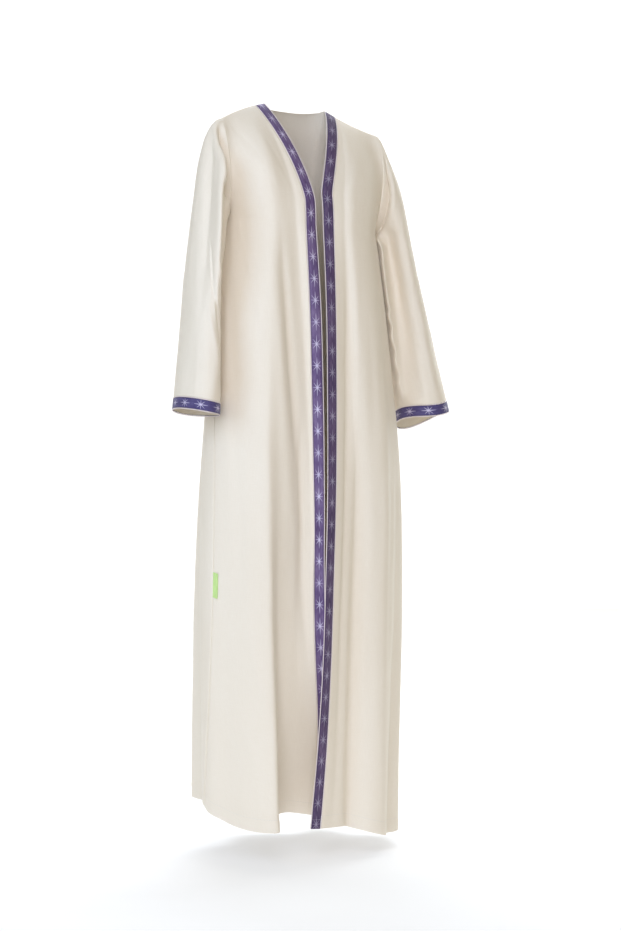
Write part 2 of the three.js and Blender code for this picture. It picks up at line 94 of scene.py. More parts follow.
HEM = dict(phi=[-180, -112, -92, -80, -69, -60, -49, -40, -33, -26, -18, -12, -6, -3, 3, 8, 13, 18, 28, 38, 60, 78, 90, 180],
           dz =[   0,   26,  29,  15,   8,   0,  -6,  -6,  -2,   8,  13,  11,  6,  4, -5, -5, -4, -6, -16, -24, -28, -22, -12, 0])
SLEEVE = {
 -1: dict(
    v =[0.0, 0.05, 0.11, 0.20, 0.34, 0.50, 0.66, 0.82, 1.0],
    ox=[179,  196,  211,  224,  236,  250,  265,  280,  297],
    oz=[-45,  -53,  -79, -130, -210, -305, -410, -522, -644],
    ix=[166,  171,  177,  184,  190,  197,  203,  207,  213],
    iz=[-250, -256, -264, -281, -315, -374, -450, -545, -656],
    y =[ -6,   -7,   -8,   -9,  -11,  -16,  -24,  -34,  -44],
    d =[ 42,   50,   56,   61,   66,   69,   71,   72,   74]),
  1: dict(
    v =[0.0, 0.05, 0.11, 0.20, 0.34, 0.50, 0.66, 0.82, 1.0],
    ox=[179,  187,  197,  215,  236,  259,  285,  311,  337],
    oz=[-45,  -54,  -80, -130, -210, -305, -406, -515, -621],
    ix=[166,  171,  177,  186,  192,  201,  210,  221,  234],
    iz=[-250, -256, -264, -281, -315, -372, -445, -536, -640],
    y =[ -6,   -5,   -2,    2,    6,    8,    4,   -3,  -12],
    d =[ 42,   50,   56,   61,   66,   69,   71,   72,   74]),
}

# ------------------------------------------------------------------ helpers
def hermite(xs, ys, x):
    xs = np.asarray(xs, float); ys = np.asarray(ys, float); x = np.asarray(x, float)
    if xs[0] > xs[-1]:
        xs = xs[::-1]; ys = ys[::-1]
    m = np.zeros_like(ys); h0 = np.diff(xs); d = np.diff(ys) / h0
    m[1:-1] = (d[:-1] * h0[1:] + d[1:] * h0[:-1]) / (h0[1:] + h0[:-1]); m[0] = d[0]; m[-1] = d[-1]
    xx = np.clip(x, xs[0], xs[-1])
    i = np.clip(np.searchsorted(xs, xx, side="right") - 1, 0, len(xs) - 2)
    h = xs[i + 1] - xs[i]; t = (xx - xs[i]) / h
    return ((2 * t**3 - 3 * t**2 + 1) * ys[i] + (t**3 - 2 * t**2 + t) * h * m[i]
            + (-2 * t**3 + 3 * t**2) * ys[i + 1] + (t**3 - t**2) * h * m[i + 1])

def smooth(e0, e1, x):
    t = np.clip((np.asarray(x, float) - e0) / (e1 - e0), 0, 1)
    return t * t * (3 - 2 * t)

def body(col, z): return hermite(BODY["z"], BODY[col], z)
def turn(a, b): return (a - b + 180) % 360 - 180

def arc(P):
    return np.concatenate([[0], np.cumsum(np.linalg.norm(np.diff(P, axis=0), axis=1))])

def at_lengths(P, want):
    s = arc(P)
    return np.stack([np.interp(want, s, P[:, k]) for k in range(3)], -1)

def noise2(u, v, seed, cell_u, cell_v):
    """Smooth value noise in -1..1 over two lengths, the same every run."""
    rng = np.random.default_rng(seed); T = rng.uniform(-1, 1, (64, 64))
    a = u / cell_u + 300.0; b = v / cell_v + 300.0
    i = np.floor(a).astype(int); j = np.floor(b).astype(int); f = a - i; g = b - j
    f = f * f * f * (f * (6 * f - 15) + 10); g = g * g * g * (g * (6 * g - 15) + 10)
    A = T[i % 64, j % 64]; B = T[(i + 1) % 64, j % 64]; C = T[i % 64, (j + 1) % 64]; D = T[(i + 1) % 64, (j + 1) % 64]
    return (A * (1 - f) + B * f) * (1 - g) + (C * (1 - f) + D * f) * g

def crease(S, H, table):
    """Soft troughs (depth below 0) and ridges, each along a line from (s0, h0) to (s1, h1), in mm on the cloth."""
    out = np.zeros_like(S)
    for s0, h0, s1, h1, wide, deep in table:
        dx, dy = s1 - s0, h1 - h0; L = math.hypot(dx, dy)
        q = ((S - s0) * dx + (H - h0) * dy) / L**2
        bow = min(0.06 * L, 7.0) * np.sin(np.pi * np.clip(q, 0, 1)) * (1 if (s0 + h0) % 2 < 1 else -1)
        d = ((S - s0) * dy - (H - h0) * dx) / L + bow
        ends = np.sin(np.pi * np.clip(q, 0, 1)) ** 0.8
        out += deep * ends * np.exp(-(d / (wide * (0.75 + 0.5 * np.clip(q, 0, 1)))) ** 2)
    return out

# ------------------------------------------------------------------ the body's surface
def body_xy(phi, z):
    phi = np.asarray(phi, float); z = np.broadcast_to(np.asarray(z, float), phi.shape)
    p = np.radians(phi); a = body("half", z); s, c = np.sin(p), np.cos(p)
    b = np.where(c >= 0, body("front", z), body("back", z)); e = 2 / 2.15
    x0 = a * np.sign(s) * np.abs(s)**e; y0 = -b * np.sign(c) * np.abs(c)**e
    nx = s / a; ny = -c / b; L = np.hypot(nx, ny); nx /= L; ny /= L
    off = np.zeros(phi.shape); lean = np.zeros(phi.shape)
    for f0, f1, bend, wr, wl, z0, out, ln, grow in FOLDS:
        k = np.clip((z0 - z) / (z0 - Z_HEM), 0, 1.05); d = turn(phi, f0 + (f1 - f0) * k**bend)
        g = k**grow * np.exp(-np.abs(d / np.where(d < 0, wr, wl))**1.8)
        if bend < 1: g = g * (1 - smooth(-880, -1220, z))      # this one runs out above the hem
        off += out * g; lean += ln * k * g
    return body("shift", z) + x0 + nx * off - ny * lean, y0 + ny * off + nx * lean

def swing(side, phi_abs, z):
    """How far a point of a front follows its own edge rather than the body."""
    low = float(smooth(-500, -900, z)); wide = (32 - 17 * low) if side < 0 else (20 - 6 * low)
    u = np.clip((wide - phi_abs) / (wide - PHI_E), 0, 1)
    return u**1.5 * (1 + 0.5 * (1 - u))

def hem_lift(phi, z):
    k = np.clip((z - Z_UNDER) / (Z_HEM - Z_UNDER), 0, 1)
    return hermite(HEM["phi"], HEM["dz"], turn(phi, 0)) * k**3

def neck_rise(side, t): return np.clip((t - 0.2) / 0.8, 0, 1)**1.2 if side < 0 else np.clip((t - 0.26) / 0.74, 0, 1)**1.2
def arm_rise(t): return t * (1.5 - 0.5 * t)
def round_off(t, q): return np.clip(1 - t * t, 0, 1)**q
def bulge(t, c=1.0):
    if t <= 0 or t >= 1: return 0.0 * np.asarray(c, float)
    return np.asarray(c, float)**4 * math.sin(math.pi * t)**(0.75 + 2.2 * (1 - np.asarray(c, float)))

def shoulder(side, c):
    c = np.asarray(c, float); h, q = np.array(NECK_END), np.array(TIP)
    p = h + (q - h) * c[..., None]; p[..., 2] += SAG[side] * np.sin(np.pi * c); p[..., 0] *= side
    return p

def front_low(side, z, n=260):
    seam = float(body("seam", z)); ph = PHI_E + (seam - PHI_E) * np.linspace(0, 1, n)
    x, y = body_xy(side * ph, z); rx, ry = body_xy(np.array([side * PHI_E]), z); k = "r" if side < 0 else "l"
    w = swing(side, ph, z); back = smooth(35, 27, ph); fx, fy = (float(hermite(FALL["z"], FALL[q], z)) if side < 0 else 0.0 for q in "xy")
    x = x + back * fx + w * (float(hermite(EDGE["z"], EDGE[k + "x"], z)) - rx[0] - fx)
    y = y + back * fy + w * (float(hermite(EDGE["z"], EDGE[k + "y"], z)) - ry[0] - fy)
    return np.stack([x, y, z + hem_lift(side * ph, z)], -1)

def front_high(side, t, n=260):
    b = front_low(side, Z_UNDER, n); b = at_lengths(b, np.linspace(0, arc(b)[-1], n))
    c = np.linspace(0, 1, n); q = shoulder(side, c); h = (1 - c) * neck_rise(side, t) + c * arm_rise(t)
    x = b[:, 0] + (q[:, 0] - b[:, 0]) * h
    y = (q[:, 1] + (b[:, 1] - q[:, 1]) * round_off(t, 0.86) - ARM_BULGE[0] * bulge(t, c)
         - 6 * math.sin(math.pi * t)**2 * np.exp(-((c - 0.5) / 0.25)**2))
    return np.stack([x, y, b[:, 2] + (q[:, 2] - b[:, 2]) * t], -1)

def back_low(z, n=420):
    seam = float(body("seam", z)); ph = np.linspace(-seam, -(360 - seam), n)
    x, y = body_xy(ph, z); P = np.stack([x, y, z + hem_lift(ph, z)], -1)
    return at_lengths(P, np.linspace(0, arc(P)[-1], n))

def back_high(t, n=420):
    b = back_low(Z_UNDER, n); c = np.linspace(-1, 1, n); a = np.abs(c); sgn = np.where(c < 0, -1.0, 1.0)
    f = np.clip((a - NECK_SHARE) / (1 - NECK_SHARE), 0, 1); q = np.where((c < 0)[:, None], shoulder(-1, f), shoulder(1, f))
    u = np.clip(a / NECK_SHARE, 0, 1) * np.pi / 2; m = a < NECK_SHARE
    q[m, 0] = (sgn * NECK_END[0] * np.sin(u)**0.9)[m]
    q[m, 1] = (NECK_END[1] + (BACK_NECK[0] - NECK_END[1]) * np.cos(u)**0.8)[m]
    q[m, 2] = (BACK_NECK[1] * np.cos(u))[m]
    h = (1 - a) * t + a * arm_rise(t)
    x = b[:, 0] + (q[:, 0] - b[:, 0]) * h
    y = (q[:, 1] + (b[:, 1] - q[:, 1]) * round_off(t, 0.8) + ARM_BULGE[1] * bulge(t, a)
         + 10 * math.sin(math.pi * t)**2 * np.exp(-((a - 0.45) / 0.25)**2))
    over = 5.0 * math.sin(math.pi * min(max((1 - t) / 0.16, 0), 1))      # rolls over the top before the seam
    return np.stack([x, y, b[:, 2] + (q[:, 2] - b[:, 2]) * t + over * np.clip(a * 1.6, 0, 1)], -1)

def armhole(side, psi):
    f = front_low(side, Z_UNDER)[-1]; bl = back_low(Z_UNDER); bk = bl[0] if side < 0 else bl[-1]
    q = np.array(TIP) * [side, 1, 1]; out = []
    for p in psi:
        t = (1 + math.cos(p)) / 2; ahead = math.sin(p) >= 0; b = f if ahead else bk
        out.append([b[0] + (q[0] - b[0]) * arm_rise(t),
                    q[1] + (b[1] - q[1]) * float(round_off(t, 0.86 if ahead else 0.8)) + (-ARM_BULGE[0] if ahead else ARM_BULGE[1]) * float(bulge(t)),
                    b[2] + (q[2] - b[2]) * t])
    return np.array(out)

def sleeve_oval(side, v, psi):
    T = SLEEVE[side]; g = lambda k: float(hermite(T["v"], T[k], v)); c, s = np.cos(psi), np.sin(psi); rise, drop = CUFF_DROP[side]
    return np.stack([side * ((g("ox") + g("ix")) / 2 + c * (g("ox") - g("ix")) / 2), g("y") - s * g("d"),
                     (g("oz") + g("iz")) / 2 + c * (g("oz") - g("iz")) / 2 + (rise * s - drop * s * s) * float(smooth(0.5, 1.0, v))], -1)

def sleeve_ring(side, v, psi, loop, start):
    keep = 1 - float(smooth(0, 0.22, v))
    return sleeve_oval(side, v, psi) + (loop + [side * SLEEVE_GAP, 0, 0] - start) * keep

def tilted(P):
    P = np.array(P, float); P[..., 2] -= TILT * P[..., 0]
    return P

# ------------------------------------------------------------------ meshes
def normals(G, flip, ringed=False):
    up = np.empty_like(G); up[1:-1] = G[2:] - G[:-2]; up[0] = G[1] - G[0]; up[-1] = G[-1] - G[-2]
    if ringed:
        ac = np.roll(G, -1, 1) - np.roll(G, 1, 1)
    else:
        ac = np.empty_like(G); ac[:, 1:-1] = G[:, 2:] - G[:, :-2]; ac[:, 0] = G[:, 1] - G[:, 0]; ac[:, -1] = G[:, -1] - G[:, -2]
    N = np.cross(ac, up) * flip
    return N / np.maximum(np.linalg.norm(N, axis=-1, keepdims=True), 1e-9)

def mesh_from(name, verts, faces, uvs=None, sharp=None):
    me = bpy.data.meshes.new(name)
    me.from_pydata(verts, [], faces)
    me.polygons.foreach_set("use_smooth", np.ones(len(me.polygons), bool))
    if uvs is not None:
        layer = me.uv_layers.new(name="cloth"); idx = np.zeros(len(me.loops), np.int32)
        me.loops.foreach_get("vertex_index", idx); layer.data.foreach_set("uv", uvs[idx].astype(np.float32).ravel())
    if sharp is not None:
        ev = np.zeros(len(me.edges) * 2, np.int32); me.edges.foreach_get("vertices", ev); ev = ev.reshape(-1, 2)
        flag = sharp[ev[:, 0]] & sharp[ev[:, 1]]
        at = me.attributes.get("sharp_edge") or me.attributes.new("sharp_edge", "BOOLEAN", "EDGE")
        at.data.foreach_set("value", flag)
    me.update()
    ob = bpy.data.objects.new(name, me); bpy.context.scene.collection.objects.link(ob)
    return ob

def shell(name, G, N, uv, wall, flip, ringed=False, over=0.0):
    """Closed sheet: outer grid and inner grid a wall apart, joined at the rims."""
    R, C = G.shape[:2]; outer = tilted(G + N * over) * MM; inner = tilted(G - N * wall) * MM
    V = np.concatenate([outer.reshape(-1, 3), inner.reshape(-1, 3)]); U = np.concatenate([uv.reshape(-1, 2)] * 2)
    J = C if ringed else C - 1
    i, j = np.meshgrid(np.arange(R - 1), np.arange(J), indexing="ij"); j1 = (j + 1) % C; o = R * C
    A, B, Cc, D = i * C + j, i * C + j1, (i + 1) * C + j1, (i + 1) * C + j
    q = [np.stack([A, B, Cc, D], -1).reshape(-1, 4), np.stack([A, D, Cc, B], -1).reshape(-1, 4) + o]
    jj = np.arange(J); k1 = (jj + 1) % C; last = (R - 1) * C
    q.append(np.stack([k1, jj, jj + o, k1 + o], -1)); q.append(np.stack([last + jj, last + k1, last + k1 + o, last + jj + o], -1))
    if not ringed:
        ii = np.arange(R - 1) * C
        q.append(np.stack([ii, ii + C, ii + C + o, ii + o], -1))
        q.append(np.stack([ii + C + C - 1, ii + C - 1, ii + C - 1 + o, ii + C + C - 1 + o], -1))
    F = np.concatenate(q)
    if flip < 0: F = F[:, ::-1]
    edge = np.zeros((R, C), bool); edge[0] = edge[-1] = True
    if not ringed: edge[:, 0] = edge[:, -1] = True
    ob = mesh_from(name, V.tolist(), F.tolist(), U, np.concatenate([edge.ravel()] * 2))
    return ob

def tube(name, path, radius, sides=8, closed=False, flat=1.0, frame_n=None):
    """Round roll along a path of points in mm."""
    P = np.asarray(path, float)
    T = np.empty_like(P)
    if closed: T = np.roll(P, -1, 0) - np.roll(P, 1, 0)
    else: T[1:-1] = P[2:] - P[:-2]; T[0] = P[1] - P[0]; T[-1] = P[-1] - P[-2]
    T /= np.linalg.norm(T, axis=1, keepdims=True)
    N = frame_n - (frame_n * T).sum(1, keepdims=True) * T; N /= np.linalg.norm(N, axis=1, keepdims=True); B = np.cross(T, N)
    a = np.linspace(0, 2 * np.pi, sides, endpoint=False)
    ring = P[:, None] + radius * (np.cos(a)[None, :, None] * N[:, None] * flat + np.sin(a)[None, :, None] * B[:, None])
    R = len(P); s = arc(P)
    V = tilted(ring).reshape(-1, 3) * MM
    U = np.stack([np.broadcast_to(a / (2 * np.pi) * 0.006, (R, sides)), np.broadcast_to(s[:, None] * MM, (R, sides))], -1).reshape(-1, 2)
    F = []; K = R if closed else R - 1
    for i in range(K):
        i1 = (i + 1) % R
        for j in range(sides):
            j1 = (j + 1) % sides; F.append((i * sides + j, i * sides + j1, i1 * sides + j1, i1 * sides + j))
    if not closed:
        F.append(tuple(range(sides))[::-1]); F.append(tuple((R - 1) * sides + j for j in range(sides)))
    return mesh_from(name, V.tolist(), F, U)

def stitches(name, P, N, pitch=3.6, length=2.5, thick=0.42, lift=0.12):
    """A row of sewn stitches along a line of points: small flattened beads, joined in one mesh."""
    s = arc(P); n = int(s[-1] / pitch); V, F = [], []
    at = (np.arange(n) + 0.5) * pitch; half = length / 2
    A = at_lengths(P, at - half); B = at_lengths(P, at + half); M = at_lengths(P, at)
    NN = np.stack([np.interp(at, s, N[:, k]) for k in range(3)], -1); NN /= np.linalg.norm(NN, axis=1, keepdims=True)
    for k in range(n):
        t = B[k] - A[k]; L = np.linalg.norm(t); t /= L; m = NN[k] - t * NN[k].dot(t); m /= np.linalg.norm(m); b = np.cross(t, m)
        base = len(V)
        for u, r, h in ((-1.0, 0.35, -0.22), (-0.62, 0.9, 0.10), (0.0, 1.0, 0.16), (0.62, 0.9, 0.10), (1.0, 0.35, -0.22)):
            c = M[k] + t * (u * half) + m * (lift + h)
            for a in range(6):
                w = a * math.pi / 3; V.append(c + thick * r * (math.cos(w) * b * 0.75 + math.sin(w) * m * 0.55))
        for u in range(4):
            for a in range(6):
                a1 = (a + 1) % 6; F.append((base + u * 6 + a, base + u * 6 + a1, base + u * 6 + 6 + a1, base + u * 6 + 6 + a))
        F.append(tuple(base + a for a in range(6))[::-1]); F.append(tuple(base + 24 + a for a in range(6)))
    return mesh_from(name, (tilted(np.array(V)) * MM).tolist(), F)

# ------------------------------------------------------------------ materials
def new_mat(name):
    m = bpy.data.materials.new(name); m.use_nodes = True; nt = m.node_tree
    return m, nt, nt.nodes["Principled BSDF"]

class Net:
    """Small helper to wire math nodes."""
    def __init__(self, nt): self.nt = nt
    def node(self, kind, **inputs):
        n = self.nt.nodes.new(kind)
        return n
    def put(self, socket, value):
        if hasattr(value, "is_output"): self.nt.links.new(value, socket)
        else: socket.default_value = value
    def math(self, op, a, b=0.0, c=None, clamp=False):
        n = self.nt.nodes.new("ShaderNodeMath"); n.operation = op; n.use_clamp = clamp
        self.put(n.inputs[0], a); self.put(n.inputs[1], b)
        if c is not None: self.put(n.inputs[2], c)
        return n.outputs[0]
    def uv(self):
        n = self.nt.nodes.new("ShaderNodeUVMap"); n.uv_map = "cloth"; return n.outputs[0]
    def mapping(self, vec, scale, rot=(0, 0, 0), loc=(0, 0, 0)):
        n = self.nt.nodes.new("ShaderNodeMapping"); self.put(n.inputs["Vector"], vec)
        n.inputs["Scale"].default_value = scale; n.inputs["Rotation"].default_value = rot; n.inputs["Location"].default_value = loc
        return n.outputs[0]
    def noise(self, vec, scale, detail=3.0, rough=0.55, distort=0.0):
        n = self.nt.nodes.new("ShaderNodeTexNoise"); self.put(n.inputs["Vector"], vec)
        n.inputs["Scale"].default_value = scale; n.inputs["Detail"].default_value = detail
        n.inputs["Roughness"].default_value = rough; n.inputs["Distortion"].default_value = distort
        return n.outputs["Fac"]
    def wave(self, vec, scale, axis="X", distort=0.0, dscale=1.0):
        n = self.nt.nodes.new("ShaderNodeTexWave"); n.wave_type = "BANDS"; n.bands_direction = axis; n.wave_profile = "SIN"
        self.put(n.inputs["Vector"], vec); n.inputs["Scale"].default_value = scale
        n.inputs["Distortion"].default_value = distort; n.inputs["Detail Scale"].default_value = dscale
        return n.outputs["Fac"]
    def ramp(self, fac, stops):
        n = self.nt.nodes.new("ShaderNodeValToRGB"); self.put(n.inputs[0], fac); cr = n.color_ramp
        while len(cr.elements) < len(stops): cr.elements.new(0.5)
        for e, (p, col) in zip(cr.elements, stops): e.position = p; e.color = (*col, 1) if len(col) == 3 else col
        return n.outputs["Color"]
    def mix(self, fac, a, b, blend="MIX"):
        n = self.nt.nodes.new("ShaderNodeMix"); n.data_type = "RGBA"; n.blend_type = blend
        self.put(n.inputs["Factor"], fac)
        self.put(n.inputs[6], a if hasattr(a, "is_output") else (*a, 1)); self.put(n.inputs[7], b if hasattr(b, "is_output") else (*b, 1))
        return n.outputs[2]
    def bump(self, height, strength, distance, normal=None):
        n = self.nt.nodes.new("ShaderNodeBump"); self.put(n.inputs["Height"], height)
        n.inputs["Strength"].default_value = strength; n.inputs["Distance"].default_value = distance
        if normal is not None: self.put(n.inputs["Normal"], normal)
        return n.outputs[0]

def ivory_material(name, base, shade):
    m, nt, bs = new_mat(name); w = Net(nt); uv = w.uv()
    warp = w.wave(w.mapping(uv, (1, 1, 1)), 300, "X", 1.2, 60); weft = w.wave(w.mapping(uv, (1, 1, 1)), 300, "Y", 1.2, 60)
    weave = w.math("MULTIPLY", warp, weft)
    slub_v = w.noise(w.mapping(uv, (900, 45, 1)), 1.0, 2.0, 0.6); slub_u = w.noise(w.mapping(uv, (45, 900, 1)), 1.0, 2.0, 0.6)
    slub = w.math("ADD", w.math("MULTIPLY", slub_v, 0.55), w.math("MULTIPLY", slub_u, 0.45))
    cloud = w.noise(w.mapping(uv, (7, 3.2, 1)), 1.0, 3.0, 0.5)
    fac = w.math("ADD", w.math("MULTIPLY", slub, 0.65), w.math("MULTIPLY", cloud, 0.35))
    col = w.ramp(fac, [(0.30, shade), (0.62, base)])
    nt.links.new(col, bs.inputs["Base Color"])
    bs.inputs["Roughness"].default_value = 0.62
    rough = w.math("MULTIPLY_ADD", slub, 0.16, 0.52)
    nt.links.new(rough, bs.inputs["Roughness"])
    bs.inputs["Specular IOR Level"].default_value = 0.32
    bs.inputs["Sheen Weight"].default_value = 0.22
    bs.inputs["Sheen Roughness"].default_value = 0.45
    bs.inputs["Sheen Tint"].default_value = (1.0, 0.97, 0.93, 1)
    n1 = w.bump(weave, 0.28, 0.00022); n2 = w.bump(slub, 0.22, 0.00045, n1)
    nt.links.new(n2, bs.inputs["Normal"])
    return m

def star_mask(w, u, v, pitch, long_half, short_half, diag_half, thick, width):
    """Eight-ray line stars in the middle of the band, one every pitch, in band lengths (metres)."""
    vv = w.math("SUBTRACT", w.math("MODULO", w.math("ADD", v, 50 * pitch), pitch), pitch / 2)
    uu = w.math("SUBTRACT", u, width / 2); total = None
    for ang, L, t in ((0, long_half, 1.0), (90, short_half, 0.95), (38, diag_half, 0.85), (-38, diag_half, 0.85)):
        c, s = math.cos(math.radians(ang)), math.sin(math.radians(ang))
        along = w.math("ABSOLUTE", w.math("ADD", w.math("MULTIPLY", vv, c), w.math("MULTIPLY", uu, s)))
        across = w.math("ABSOLUTE", w.math("SUBTRACT", w.math("MULTIPLY", uu, c), w.math("MULTIPLY", vv, s)))
        taper = w.math("MAXIMUM", w.math("SUBTRACT", 1.0, w.math("DIVIDE", along, L)), 0.0)
        half = w.math("MULTIPLY", w.math("POWER", taper, 0.45), thick * t)
        ray = w.math("SUBTRACT", 1.0, w.math("DIVIDE", across, w.math("MAXIMUM", half, 1e-6)), clamp=True)
        ray = w.math("MULTIPLY", w.math("POWER", ray, 0.45), w.math("MULTIPLY_ADD", taper, 0.45, 0.55))
        total = ray if total is None else w.math("MAXIMUM", total, ray)
    r = w.math("SQRT", w.math("ADD", w.math("MULTIPLY", uu, uu), w.math("MULTIPLY", vv, vv)))
    core = w.math("SUBTRACT", 1.0, w.math("DIVIDE", r, thick * 2.6), clamp=True)
    return w.math("MAXIMUM", total, core)

def violet_material(name, pitch, phase, stars, dark, mid, light, long_half=0.0180, short_half=0.0098, diag_half=0.0125):
    m, nt, bs = new_mat(name); w = Net(nt); uv = w.uv()
    sep = nt.nodes.new("ShaderNodeSeparateXYZ"); nt.links.new(uv, sep.inputs[0]); u, v = sep.outputs[0], sep.outputs[1]
    mott = w.noise(w.mapping(uv, (120, 34, 1)), 1.0, 4.0, 0.62); streak = w.noise(w.mapping(uv, (700, 30, 1)), 1.0, 2.0, 0.6)
    tone = w.noise(w.mapping(uv, (10, 9, 1)), 1.0, 2.0, 0.5)
    f = w.math("ADD", w.math("ADD", w.math("MULTIPLY", mott, 0.42), w.math("MULTIPLY", streak, 0.22)), w.math("MULTIPLY", tone, 0.36))
    ground = w.ramp(f, [(0.36, dark), (0.50, mid), (0.64, light)])
    edge = w.math("ABSOLUTE", w.math("SUBTRACT", w.math("DIVIDE", u, BAND_W * MM), 0.5))
    edge = w.math("MULTIPLY", w.math("SUBTRACT", edge, 0.36, clamp=True), 4.5, clamp=True)
    ground = w.mix(edge, ground, dark)
    mask = star_mask(w, u, w.math("ADD", v, phase), pitch, long_half, short_half, diag_half, 0.00125, BAND_W * MM)
    patchy = w.noise(w.mapping(uv, (260, 260, 1)), 1.0, 2.0, 0.6)
    mask = w.math("MULTIPLY", mask, w.math("MULTIPLY_ADD", patchy, 0.7, 0.6), clamp=True)
    slow = w.noise(w.mapping(uv, (1, 11, 1)), 1.0, 1.0, 0.5)
    mask = w.math("MULTIPLY", mask, w.math("MULTIPLY_ADD", slow, stars * 0.9, stars * 0.55), clamp=True)
    nt.links.new(w.mix(mask, ground, (0.74, 0.68, 0.86)), bs.inputs["Base Color"])
    bs.inputs["Roughness"].default_value = 0.6
    bs.inputs["Specular IOR Level"].default_value = 0.3
    bs.inputs["Sheen Weight"].default_value = 0.12
    bs.inputs["Sheen Roughness"].default_value = 0.5
    warp = w.wave(uv, 420, "X", 0.6, 80); weft = w.wave(uv, 420, "Y", 0.6, 80)
    n1 = w.bump(w.math("MULTIPLY", warp, weft), 0.35, 0.0002)
    n2 = w.bump(mask, 0.5, 0.0004, n1)
    nt.links.new(n2, bs.inputs["Normal"])
    return m

def piping_material(name, base, shade):
    m, nt, bs = new_mat(name); w = Net(nt); uv = w.uv()
    twist = w.wave(w.mapping(uv, (1, 1, 1), (0, 0, math.radians(38))), 150, "Y", 0.4, 40)
    cloud = w.noise(w.mapping(uv, (60, 40, 1)), 1.0, 2.0, 0.5)
    # the twist also sets the colour: its grooves are painted darker (painted shade in the grooves), with random tone
    # from the cloud noise
    nt.links.new(w.ramp(w.math("ADD", w.math("MULTIPLY", twist, 0.45), w.math("MULTIPLY", cloud, 0.55)), [(0.2, shade), (0.7, base)]), bs.inputs["Base Color"])
    bs.inputs["Roughness"].default_value = 0.42
    bs.inputs["Sheen Weight"].default_value = 0.15
    nt.links.new(w.bump(twist, 0.5, 0.0003), bs.inputs["Normal"])
    return m

def thread_material(name, base):
    m, nt, bs = new_mat(name); w = Net(nt)
    tc = nt.nodes.new("ShaderNodeTexCoord")
    n = w.noise(w.mapping(tc.outputs["Object"], (900, 900, 900)), 1.0, 2.0, 0.5)
    nt.links.new(w.ramp(n, [(0.3, tuple(c * 0.82 for c in base)), (0.7, base)]), bs.inputs["Base Color"])
    bs.inputs["Roughness"].default_value = 0.55
    return m

def lime_material(name):
    m, nt, bs = new_mat(name); w = Net(nt); uv = w.uv()
    warp = w.wave(uv, 520, "X", 0.4, 60); weft = w.wave(uv, 300, "Y", 0.4, 60)
    sep = nt.nodes.new("ShaderNodeSeparateXYZ"); nt.links.new(uv, sep.inputs[0])
    n = w.noise(w.mapping(uv, (300, 60, 1)), 1.0, 2.0, 0.5)
    nt.links.new(w.ramp(n, [(0.3, (0.50, 0.72, 0.24)), (0.7, (0.60, 0.82, 0.32))]), bs.inputs["Base Color"])
    bs.inputs["Roughness"].default_value = 0.5
    bs.inputs["Sheen Weight"].default_value = 0.1
    nt.links.new(w.bump(w.math("MULTIPLY", warp, weft), 0.4, 0.0002), bs.inputs["Normal"])
    return m

IVORY = ivory_material("ivory_cloth", (0.845, 0.77, 0.655), (0.80, 0.715, 0.59))
VIOLET_R = violet_material("violet_trim_right", 0.0445, 0.0, 0.88, (0.068, 0.0395, 0.120), (0.136, 0.0865, 0.205), (0.232, 0.168, 0.295))
# the wearer's left trim is a darker copy of the right trim with fainter stars: painted shade of the front turned away
# from the key light
VIOLET_L_PAINTED_SHADE = violet_material("violet_trim_left_painted_shade", 0.0445, 0.012, 0.45, (0.047, 0.027, 0.078), (0.090, 0.056, 0.128), (0.146, 0.100, 0.188))
VIOLET_C = violet_material("violet_trim_cuff", 0.0445, 0.0, 0.90, (0.042, 0.032, 0.115), (0.079, 0.063, 0.180), (0.135, 0.119, 0.262), 0.0165, 0.0095, 0.0115)
PIPING = piping_material("pale_piping", (0.86, 0.77, 0.77), (0.74, 0.62, 0.64))
THREAD = thread_material("sewing_thread", (0.80, 0.76, 0.69))
THREAD_V = thread_material("violet_thread", (0.62, 0.56, 0.70))
LIME = lime_material("lime_tab")

def face_inside(ob, mat, count):
    """The inner faces of a band are its cloth facing, not the trim: the second run of count faces."""
    ob.data.materials.append(mat); idx = np.zeros(len(ob.data.polygons), np.int32); idx[count:2 * count] = 1
    ob.data.polygons.foreach_set("material_index", idx); ob.data.update()

def finish(ob, mat, slot, *nodes):
    ob.data.materials.clear(); ob.data.materials.append(mat)
    if nodes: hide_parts(*nodes)
    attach(ob, "root")
    return ob

# ------------------------------------------------------------------ body panels
ROWS_LOW, ROWS_HIGH = 190, 74
Z_ROWS = Z_HEM + (Z_UNDER - Z_HEM) * np.linspace(0, 1, ROWS_LOW)
T_ROWS = np.sin(np.linspace(0, math.pi / 2, ROWS_HIGH + 1)[1:])**1.15
T_ROWS[-1] = 1.0
WALL = 0.9

# creases: (s0, h0, s1, h1, width, depth) in mm; s from the front edge, h = height z
CREASES = {
 -1: [(150, -95, 60, -230, 9, -1.6), (165, -150, 95, -330, 8, -1.8), (175, -215, 120, -420, 10, -2.2), (185, -250, 150, -520, 9, -1.8),
      (60, -60, 38, -190, 7, -1.2), (110, -40, 78, -150, 8, -1.1), (90, -380, 96, -720, 14, 2.0), (150, -560, 160, -1050, 16, -2.2),
      (205, -620, 214, -1200, 14, -1.8), (84, -190, 50, -860, 11, -9.0), (50, -640, 39, -1180, 8, -6.0), (106, -240, 74, -900, 15, 3.5), (190, -900, 196, -1420, 15, 2.0), (120, -1020, 124, -1460, 12, -1.4)],
  1: [(50, -90, 52, -1560, 9, -5.5), (70, -120, 72, -1560, 11, 3.5), (150, -100, 70, -240, 9, -1.8), (168, -160, 100, -350, 8, -1.8), (176, -220, 128, -440, 9, -2.4), (188, -255, 158, -500, 8, -1.6),
      (58, -70, 44, -210, 7, -1.3), (112, -50, 84, -170, 8, -1.0), (108, -420, 112, -860, 13, -2.0), (150, -520, 158, -1080, 15, 2.4),
      (176, -700, 186, -1380, 13, -2.2), (205, -620, 216, -1180, 12, 1.6), (128, -980, 132, -1450, 12, -1.6)],
}
